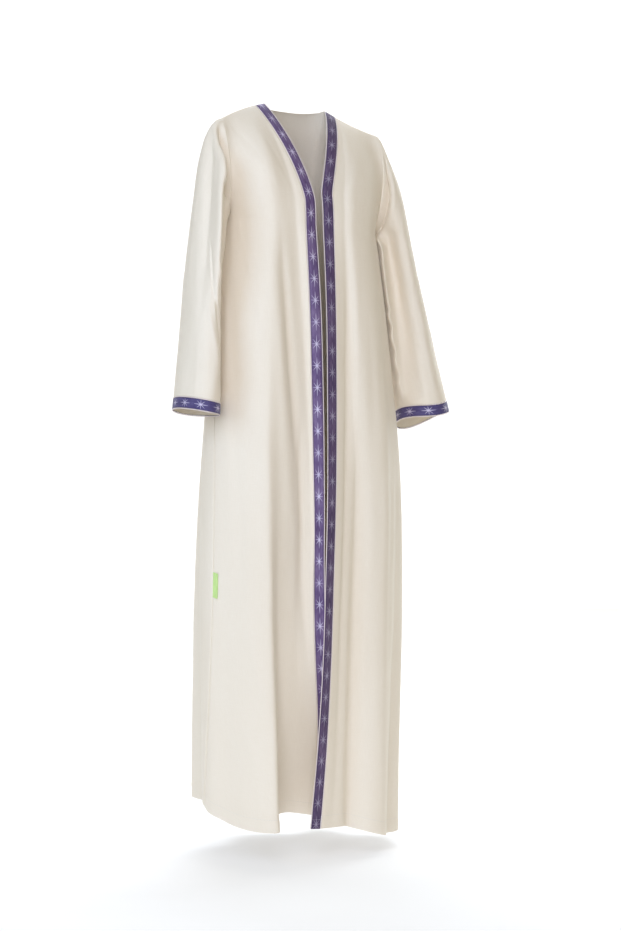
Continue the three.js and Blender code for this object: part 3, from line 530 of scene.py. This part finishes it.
BACK_CREASES = [(-150, -110, -60, -250, 10, -2.0), (-160, -170, -90, -360, 9, -2.2), (-168, -235, -120, -460, 9, -2.4),
      (150, -105, 62, -245, 10, -1.9), (162, -175, 96, -350, 9, -2.0), (170, -240, 128, -470, 9, -2.6),
      (-30, -30, -36, -200, 12, -1.2), (34, -36, 40, -180, 12, -1.3), (0, -420, 4, -1000, 20, 2.2), (-70, -480, -78, -1080, 16, -2.4),
      (82, -520, 90, -1120, 16, -2.0), (-190, -560, -205, -1100, 15, 2.2), (196, -600, 210, -1180, 15, 2.0), (130, -900, 140, -1450, 16, -2.2), (-128, -860, -134, -1440, 15, 1.8)]

def seam_dip(d, deep=0.6, wide=1.4):
    return -deep * np.exp(-(np.clip(d, 0, None) / wide)**2)

def from_axis(P):
    """Outward direction level with the ground, the same for both pieces of a side seam."""
    A = np.array(P); A[..., 2] = 0
    return A / np.maximum(np.linalg.norm(A, axis=-1, keepdims=True), 1e-6)

def from_arm(P):
    """Direction away from the middle of the armhole, the same for sleeve and body."""
    A = np.array(P); A[..., 0] = 0; A[..., 1] += 6.0; A[..., 2] += 147.0
    return A / np.maximum(np.linalg.norm(A, axis=-1, keepdims=True), 1e-6)

def draw_seams(D, G, low, to_side, from_top):
    way = np.where(low[:, None, None], from_axis(G), from_arm(G))
    D = D + way * seam_dip(to_side)[..., None]
    D[..., 2] += seam_dip(from_top, 0.5)
    return D

def front_panel(side):
    lines = [front_low(side, z) for z in Z_ROWS] + [front_high(side, t) for t in T_ROWS]
    L = np.array([arc(p)[-1] for p in lines])
    # columns: trim first, fine near the seams, even between
    inner = np.concatenate([[0, 0.35, 0.9, 1.8, 3.2], np.linspace(5.5, 0, 0)])
    share = np.linspace(0, 1, 84)
    cols = []
    for l in L:
        body_len = l - EDGE_TRIM
        mid = EDGE_TRIM + 5.5 + (body_len - 11.0) * share
        cols.append(np.concatenate([EDGE_TRIM + inner, mid, l - inner[::-1]]))
    cols = np.array(cols)
    G = np.array([at_lengths(p, c) for p, c in zip(lines, cols)])
    trim_cols = np.array([0, PIPE_W / 2, PIPE_W + GAP, PIPE_W + GAP + 0.8, PIPE_W + GAP + 6, PIPE_W + GAP + BAND_W / 2, PIPE_W + GAP + BAND_W - 6,
                          PIPE_W + GAP + BAND_W - 0.8, PIPE_W + GAP + BAND_W, EDGE_TRIM - GAP - PIPE_W / 2, EDGE_TRIM])
    E = np.array([at_lengths(p, trim_cols) for p in lines])
    return lines, L, cols, G, trim_cols, E

def displace(G, N, S, H, side_table, seeds, seams):
    d = crease(S, H, side_table) * (0.35 + 0.55 * smooth(-250, -560, H))
    fall = smooth(-150, -700, H)
    d += 1.1 * noise2(S, H, seeds[0], 46, 300) * (0.45 + 0.55 * fall) + 0.45 * noise2(S, H, seeds[1], 17, 90) + 0.10 * noise2(S, H, seeds[2], 6, 14)
    for dist in seams: d *= smooth(0, 22, dist)
    return G + N * d[..., None]

made = {}
for word, side in (("right", -1), ("left", 1)):
    lines, L, S, G, tc, E = front_panel(side)
    H = G[..., 2].copy()
    R, C = G.shape[:2]
    full = np.concatenate([E[:, :-1], G], axis=1); NF = normals(full, side); N = NF[:, E.shape[1] - 1:]; NE = NF[:, :E.shape[1]]
    low = np.arange(R) < ROWS_LOW
    to_side = (L[:, None] - S)
    rows_top = arc(G[:, C // 2]); from_top = (rows_top[-1] - rows_top)[:, None] + 0 * S
    seams = [to_side, from_top]
    # the trim holds the cloth still beside it
    D = displace(G, N, S, H, CREASES[side], (11 + side, 23 + side, 31 + side), seams)
    calm = smooth(0, 16, S - EDGE_TRIM)[..., None]; D = G + (D - G) * calm + N * seam_dip(S - EDGE_TRIM, 0.3, 1.2)[..., None]
    # turned hem: a double layer 25 mm deep that stands a little proud, pulled in along its stitch line
    up = arc(G[:, C // 2])[:, None] + 0 * S
    D = D + N * ((0.6 * (1 - smooth(23, 27, up)) - 0.6 * np.exp(-((up - 25) / 2.2)**2) + 0.3 * noise2(S, up, 77 + side, 14, 60) * np.exp(-((up - 18) / 16)**2)) * smooth(0, 5, to_side))[..., None]
    D = draw_seams(D, G, low, to_side, from_top)
    N2 = normals(D, side)
    uv = np.stack([S, np.broadcast_to(up, S.shape)], -1) * MM
    ob = shell(f"front_{word}", D, N2, uv, WALL, side)
    finish(ob, IVORY, "ivory_cloth", f"front_{word}")
    made[f"front_{word}"] = ob
    # stitch row along the hem fold
    k = int(np.argmin(np.abs(up[:, 0] - 24.5)))
    st = stitches(f"hem_stitch_{word}", D[k, 2:-2], N2[k, 2:-2])
    finish(st, THREAD, "ivory_cloth")
    # trim band
    b = slice(2, 9); BG = E[:, b] + NE[:, b] * (np.array([0.1, 0.55, 0.7, 0.75, 0.7, 0.55, 0.1]))[None, :, None]
    vlen = arc(E[:, 5]); uvb = np.stack([np.broadcast_to(tc[b] - tc[2], BG.shape[:2]), np.broadcast_to(vlen[:, None], BG.shape[:2])], -1) * MM
    band = shell(f"front_band_{word}", BG, normals(BG, side), uvb, 1.3, side)
    # the wearer's left band takes the darker copy of the trim: painted shade
    finish(band, VIOLET_R if side < 0 else VIOLET_L_PAINTED_SHADE, "violet_trim", f"front_band_{word}")
    face_inside(band, IVORY, (BG.shape[0] - 1) * (BG.shape[1] - 1))
    fine = np.linspace(0, R - 1, 620); ix = np.arange(R)
    def resampled(A): return np.stack([np.interp(fine, ix, A[:, q]) for q in range(3)], -1)
    for tag, col in (("inner", 1), ("outer", 9)):
        p = tube(f"front_piping_{tag}_{word}", resampled(E[:, col] + NE[:, col] * 0.1), 0.85, 8, frame_n=resampled(NE[:, col]))
        finish(p, PIPING, "pale_piping", f"front_piping_{tag}_{word}")
    k = int(np.argmin(np.abs(up[:, 0] - 19.5)))
    cross = at_lengths(BG[k], np.linspace(0.8, arc(BG[k])[-1] - 0.8, 30)); cn = np.repeat(normals(BG, side)[k, 3][None], 30, 0)
    st = stitches(f"band_hem_stitch_{word}", cross, cn, 2.6, 2.0, 0.34)
    finish(st, THREAD_V, "violet_trim")
    made[f"lines_{side}"] = lines

# ------------------------------------------------------------------ back
lines = [back_low(z) for z in Z_ROWS] + [back_high(t) for t in T_ROWS]
L = np.array([arc(p)[-1] for p in lines]); inner = np.array([0, 0.35, 0.9, 1.8, 3.2]); cols = []
grid = []
for p, l in zip(lines, L):
    n = len(p); s = arc(p)
    u = np.linspace(0, n - 1, 132); mid = np.interp(u, np.arange(n), s)
    want = np.concatenate([inner, 5.5 + (l - 11.0) * (mid / l), l - inner[::-1]])
    cols.append(want - l / 2); grid.append(at_lengths(p, want))
G = np.array(grid); S = np.array(cols); H = G[..., 2].copy(); N = normals(G, 1); R, C = G.shape[:2]
up = arc(G[:, C // 2])[:, None] + 0 * S; top = arc(G[:, 20]); from_top = (top[-1] - top)[:, None] + 0 * S
seam_top = np.where(np.abs(np.linspace(-1, 1, C))[None, :] > NECK_SHARE, from_top, 99.0)
D = displace(G, N, S, H, BACK_CREASES, (5, 6, 7), [L[:, None] / 2 - np.abs(S), seam_top])
D = D + N * ((0.6 * (1 - smooth(23, 27, up)) - 0.6 * np.exp(-((up - 25) / 2.2)**2) + 0.3 * noise2(S, up, 79, 14, 60) * np.exp(-((up - 18) / 16)**2)) * smooth(0, 5, L[:, None] / 2 - np.abs(S)))[..., None]
D = draw_seams(D, G, np.arange(R) < ROWS_LOW, L[:, None] / 2 - np.abs(S), seam_top)
N2 = normals(D, 1)
back = shell("back", D, N2, np.stack([S, up], -1) * MM, WALL, 1)
finish(back, IVORY, "ivory_cloth", "back")
k = int(np.argmin(np.abs(up[:, 0] - 24.5)))
finish(stitches("hem_stitch_back", D[k, 2:-2], N2[k, 2:-2]), THREAD, "ivory_cloth")

# ------------------------------------------------------------------ sleeves
# folds on a sleeve: angle at its start and end (0 over the arm, 90 front, 180 under), share of the length it runs over, width in degrees, depth
SLEEVE_FOLDS = {
 -1: [(100, 134, 0.02, 0.62, 12, -24.0), (66, 98, 0.02, 0.74, 14, 10.0), (26, 52, 0.10, 0.74, 15, -9.0), (-6, -4, 0.06, 0.66, 16, 3.0),
      (118, 92, 0.66, 1.0, 16, 3.0), (20, 34, 0.70, 1.0, 18, -2.5), (-60, -70, 0.05, 0.60, 18, -6.0), (-110, -118, 0.04, 0.55, 16, 6.0),
      (-145, -150, 0.06, 0.62, 15, -6.5), (-90, -80, 0.55, 1.0, 15, -3.0)],
  1: [(84, 92, 0.08, 0.80, 20, -3.0), (48, 54, 0.10, 0.85, 20, 3.5), (20, 14, 0.10, 0.70, 16, -3.0), (-60, -66, 0.05, 0.60, 17, -6.0), (-105, -112, 0.04, 0.58, 16, 6.0), (-142, -148, 0.05, 0.6, 15, -6.0),
      (118, 112, 0.66, 1.0, 14, 3.0), (-85, -80, 0.55, 1.0, 15, -3.0)],
}
# relief that stands forward (+) or back (-) beside the body: angle at start and end, share of the length, widths below and above, mm
FORWARD = (-0.438, -0.899, 0.0)
SLEEVE_RELIEF = {
 -1: [(90, 97, 0.02, 0.66, 26, 12, 24.0), (132, 137, 0.02, 0.62, 13, 15, -24.0)],
  1: [(172, 174, 0.05, 1.04, 15, 22, 44.0), (138, 128, 0.04, 1.00, 17, 20, -18.0), (84, 76, 0.05, 0.95, 26, 24, 6.0)],
}
SLEEVE_CREASES = {   # (psi0, v0, psi1, v1, width mm, depth mm)
 -1: [(70, 0.03, 40, 0.16, 6, -0.8), (20, 0.03, 8, 0.15, 6, -0.7), (50, 0.44, 84, 0.68, 6, -4.0), (76, 0.60, 126, 0.84, 7, -4.5),
      (84, 0.50, 120, 0.66, 7, 3.0), (60, 0.66, 110, 0.88, 9, 2.0), (40, 0.50, 75, 0.60, 10, -0.8),
      (-150, 0.50, -90, 0.46, 9, -2.2), (-40, 0.55, -80, 0.62, 9, -1.6)],
  1: [(66, 0.03, 44, 0.17, 6, -0.8), (24, 0.04, 10, 0.17, 6, -0.7), (160, 0.50, 105, 0.46, 8, -1.4),
      (155, 0.62, 90, 0.58, 9, 1.0), (60, 0.52, 96, 0.60, 10, -0.9), (20, 0.46, 58, 0.54, 9, -0.8), (-150, 0.52, -92, 0.47, 9, -2.2), (-44, 0.54, -84, 0.62, 9, -1.5)],
}
PSI_N = 168
PSI = np.linspace(0, 2 * np.pi, PSI_N, endpoint=False)
SV = np.concatenate([[0, 0.0008, 0.002, 0.004, 0.007], np.linspace(0.011, 0.93, 128)])
for word, side in (("right", -1), ("left", 1)):
    loop = armhole(side, PSI); start = sleeve_oval(side, 0.0, PSI)
    rings = [sleeve_ring(side, v, PSI, loop, start) for v in SV]
    end = sleeve_ring(side, 1.0, PSI, loop, start); before = sleeve_ring(side, 0.93, PSI, loop, start)
    back_dir = before - end; reach_len = np.linalg.norm(back_dir, axis=1, keepdims=True); back_dir = back_dir / reach_len
    # the last stretch, to the cuff piping
    tail = [before + (end + back_dir * (EDGE_TRIM) - before) * q for q in np.linspace(0, 1, 9)[1:]]
    G = np.array(rings + tail); V = np.concatenate([SV, np.linspace(0.93, 0.965, 9)[1:]])[:, None] + 0 * PSI[None]
    N = normals(G, side, True); deg = np.degrees(PSI)[None, :] + 0 * V
    d = np.zeros_like(V)
    for p0, p1, v0, v1, wide, deep in SLEEVE_FOLDS[side]:
        q = np.clip((V - v0) / (v1 - v0), 0, 1); e = np.sin(np.pi * q**0.75)**0.9 if v1 < 1 else smooth(0, 0.5, q)
        d += deep * e * np.exp(-(np.abs(turn(deg, p0 + (p1 - p0) * q)) / wide)**2)
    rad = 62.0; Ssl = np.radians(turn(deg, 0)) * rad; Hsl = -V * 600.0
    d += crease(Ssl, Hsl, [(math.radians(a) * rad, -600 * b, math.radians(c) * rad, -600 * e, w_, dp) for a, b, c, e, w_, dp in SLEEVE_CREASES[side]])
    ease_in = smooth(0.0, 0.07, V); ease_cuff = 1 - smooth(0.90, 0.965, V)
    cyc = np.abs(turn(deg, 0)) * math.radians(1) * rad
    d += (1.0 * noise2(Ssl, Hsl, 41 + side, 30, 120) + 0.4 * noise2(Ssl, Hsl, 43 + side, 12, 40)) * smooth(180, 150, np.abs(turn(deg, 0)))
    d *= ease_in * (0.25 + 0.75 * ease_cuff)
    # gathers of ease round the top of the armhole, seam under the arm with its small ripples
    d += 0.30 * np.sin(np.radians(deg) * 26) * np.exp(-((V - 0.012) / 0.014)**2) * smooth(-0.2, 0.5, np.cos(np.radians(deg)))
    under = np.abs(turn(deg, 172)) * math.radians(1) * rad
    dist = arc(G[:, 40])[:, None] + 0 * V
    lo, hi, deep, proud = (40, 140, -22.0, 5.0) if side < 0 else (60, 165, -14.0, 3.0)
    front = smooth(lo - 25, lo + 25, deg) * (1 - smooth(hi - 22, hi + 22, deg))
    trough = (deep * np.exp(-((dist - 15) / 9.5)**2) * smooth(0, 7, dist) + proud * np.exp(-((dist - 44) / 15)**2)) * front
    trough += -5.0 * np.exp(-((dist - 16) / 10)**2) * smooth(0, 7, dist) * smooth(210, 240, deg) * (1 - smooth(290, 325, deg))
    ripple = 2.2 * np.sin(V * 2 * np.pi * 11.5 + 0.8) * smooth(0.52, 0.62, V) * (1 - smooth(0.88, 0.94, V)) * np.exp(-(under / 14)**2)
    d += ripple + seam_dip(under, 0.6, 1.4)
    armseam = arc(G[:, 40])[:, None] + 0 * V
    d = d + trough
    f = np.zeros_like(V)
    for p0, p1, v0, v1, w_lo, w_hi, far in SLEEVE_RELIEF[side]:
        q = np.clip((V - v0) / (v1 - v0), 0, 1); a = turn(deg, p0 + (p1 - p0) * q)
        f += far * np.sin(np.pi * q**0.7)**0.8 * np.exp(-np.abs(a / np.where(a < 0, w_lo, w_hi))**2)
    f *= smooth(0.0, 0.10, V) * ease_cuff
    D = G + N * d[..., None] + np.array(FORWARD) * f[..., None] + from_arm(G) * seam_dip(armseam)[..., None]
    N2 = normals(D, side, True)
    hh = arc(G[:, 42])[:, None] + 0 * V
    uv = np.stack([np.radians(turn(deg, 172 if side < 0 else 172)) * rad + 200, hh], -1) * MM
    ob = shell(f"sleeve_{word}", D, N2, uv, WALL, side, True)
    finish(ob, IVORY, "ivory_cloth", f"sleeve_{word}")
    made[f"sleeve_{word}"] = ob
    # cuff: band and pipings follow the sleeve's end
    wob = d[-1]; last = D[-1]; NC = N2[-1]
    def cuff(mm): return end + back_dir * mm + NC * (wob * (0.3 + 0.7 * mm / EDGE_TRIM))[:, None]
    offs = [EDGE_TRIM - GAP - PIPE_W - 0.3, EDGE_TRIM - GAP - PIPE_W - 1.1, 19.0, 13.0, 7.0, PIPE_W + GAP + 0.8, PIPE_W + GAP]
    lift = [0.1, 0.55, 0.7, 0.75, 0.7, 0.55, 0.1]
    BG = np.array([cuff(o) + NC * l for o, l in zip(offs, lift)])
    # close the pattern: the last quad would wrap, so the seam column is doubled
    BGs = np.concatenate([BG, BG[:, :1]], 1)
    # start the seam under the arm
    shift = int(round(PSI_N * 172 / 360)); core = np.roll(BG, -shift, axis=1); rl = arc(np.concatenate([core[3], core[3][:1]]))
    uvw = np.stack([np.broadcast_to((offs[0] - np.array(offs))[:, None], core.shape[:2]), np.broadcast_to(rl[:-1][None] * (9 * 44.5 / rl[-1]), core.shape[:2])], -1) * MM
    band = shell(f"cuff_band_{word}", core, normals(core, side, True), uvw, 1.3, side, True)
    # the quads that wrap take the pattern's end, not its start
    me = band.data; lay = me.uv_layers["cloth"].data; vi = np.zeros(len(me.loops), np.int32); me.loops.foreach_get("vertex_index", vi)
    uvs = np.zeros(len(me.loops) * 2, np.float32); lay.foreach_get("uv", uvs); uvs = uvs.reshape(-1, 2)
    colid = vi % PSI_N; starts = np.zeros(len(me.polygons), np.int32); totals = np.zeros(len(me.polygons), np.int32)
    me.polygons.foreach_get("loop_start", starts); me.polygons.foreach_get("loop_total", totals)
    for s0, tt in zip(starts, totals):
        cc = colid[s0:s0 + tt]
        if cc.max() - cc.min() > PSI_N // 2: uvs[s0:s0 + tt, 1] += np.where(cc < PSI_N // 2, 9 * 44.5 * MM, 0)
    lay.foreach_set("uv", uvs.ravel())
    finish(band, VIOLET_C, "violet_trim", f"cuff_band_{word}")
    face_inside(band, IVORY, (core.shape[0] - 1) * core.shape[1])
    for tag, mm in (("upper", EDGE_TRIM - GAP - PIPE_W / 2), ("lower", PIPE_W / 2)):
        p = tube(f"cuff_piping_{tag}_{word}", cuff(mm) + NC * 0.05, 0.85, 8, closed=True, frame_n=NC)
        finish(p, PIPING, "pale_piping", f"cuff_piping_{tag}_{word}")

# ------------------------------------------------------------------ side tab
rows = []
for z in np.linspace(-1029, -977, 27):
    line = front_low(-1, z); l = arc(line)[-1]; rows.append(at_lengths(line, l - 13.4 + 12.8 * np.linspace(0, 1, 17)))
G = np.array(rows); N = normals(G, -1); s = np.linspace(-1, 1, 17)[None, :]; h = np.linspace(-1, 1, 27)[:, None]
lift = 0.9 + 0.9 * (1 - s) * (0.5 + 0.5 * h * h) + 0.15 * np.sin(h * 5 + s * 2)
G = G + N * lift[..., None]; G[..., 2] += 0.8 * s
uv = np.stack([np.broadcast_to(s * 6.5, G.shape[:2]), np.broadcast_to(h * 26, G.shape[:2])], -1) * MM
tab = shell("side_label", G, normals(G, -1), uv, 0.7, -1)
finish(tab, LIME, "lime_tab", "side_label")

# ------------------------------------------------------------------ stage, light, camera
def plane_strip(name, profile, half):
    V, F = [], []
    for y, z in profile: V += [(-half, y, z), (half, y, z)]
    for i in range(len(profile) - 1): F.append((2 * i, 2 * i + 1, 2 * i + 3, 2 * i + 2))
    return mesh_from(name, V, F)

ALPHA = math.radians(26); DIST = 4.6; CAM_Z = -0.512; F_PX = 2196.0; PITCH = math.radians(-2.94); SIDE_SHIFT = 0.0105 / 0.477
FLOOR = -1.562
near = [(-1.6, FLOOR), (4.4, FLOOR)]
far = [near[1]] + [(4.4 + 2.4 * math.sin(a), FLOOR + 2.4 * (1 - math.cos(a))) for a in np.linspace(0, math.pi / 2, 24)[1:]] + [(6.8, 6.0)]
for name, profile, glow in (("floor", near, 0.50), ("far_wall", far, 0.72)):
    floor = plane_strip(name, profile, 4.5)
    floor.rotation_euler = (0, 0, -ALPHA)
    m, nt, bs = new_mat("pale_" + name)
    w = Net(nt); tc = nt.nodes.new("ShaderNodeTexCoord")
    nz = w.noise(w.mapping(tc.outputs["Object"], (3, 3, 3)), 1.0, 3.0, 0.5)
    nt.links.new(w.ramp(nz, [(0.3, (0.47, 0.47, 0.47)), (0.7, (0.51, 0.51, 0.51))]), bs.inputs["Base Color"])
    bs.inputs["Emission Color"].default_value = (1, 1, 1, 1)
    bs.inputs["Emission Strength"].default_value = glow
    bs.inputs["Roughness"].default_value = 0.8
    bs.inputs["Specular IOR Level"].default_value = 0.15
    floor.data.materials.append(m)

world = bpy.data.worlds.new("studio"); bpy.context.scene.world = world; world.use_nodes = True
bg = world.node_tree.nodes["Background"]; bg.inputs[0].default_value = (1.0, 0.86, 0.50, 1); bg.inputs[1].default_value = 0.27

def area_light(name, az, el, dist, size, power, color, target=(0, 0, -0.75)):
    a, e = math.radians(az), math.radians(el); t = np.array(target)
    p = t + dist * np.array([math.sin(a) * math.cos(e), -math.cos(a) * math.cos(e), math.sin(e)])
    d = bpy.data.lights.new(name, "AREA"); d.shape = "RECTANGLE"; d.size, d.size_y = size; d.energy = power; d.color = color
    o = bpy.data.objects.new(name, d); bpy.context.scene.collection.objects.link(o); o.location = p
    import mathutils
    o.rotation_euler = mathutils.Vector(tuple(t - p)).to_track_quat("-Z", "Y").to_euler()
    return o

area_light("key_front", -28, 20, 3.6, (1.6, 2.2), 70, (0.79, 0.835, 1.0))
area_light("key_left", -72, 20, 3.6, (1.6, 2.2), 44, (0.50, 0.70, 1.0))
area_light("rim_right", 112, 20, 3.6, (1.6, 2.2), 50, (0.78, 0.88, 1.0))
area_light("rim_back", 155, 55, 3.6, (1.6, 2.2), 60, (0.72, 0.82, 1.0))
area_light("key_high", -34, 46, 3.4, (1.4, 1.6), 15, (0.82, 0.89, 1.0), (0, 0, -0.25))
wall = area_light("wall", 154, 68, 2.4, (3.0, 0.8), 150, (1, 1, 1))
wall.rotation_euler = (math.radians(58), 0, -ALPHA)

cam_data = bpy.data.cameras.new("camera"); cam = bpy.data.objects.new("camera", cam_data); bpy.context.scene.collection.objects.link(cam)
cam.location = (-math.sin(ALPHA) * DIST + math.cos(ALPHA) * SIDE_SHIFT, -math.cos(ALPHA) * DIST - math.sin(ALPHA) * SIDE_SHIFT, CAM_Z)
cam.rotation_euler = (math.pi / 2 + PITCH, 0, -ALPHA)
cam_data.sensor_fit = "AUTO"; cam_data.sensor_width = 36.0; cam_data.lens = F_PX / 931 * 36
bpy.context.scene.camera = cam
bpy.context.scene.view_settings.view_transform = "Standard"
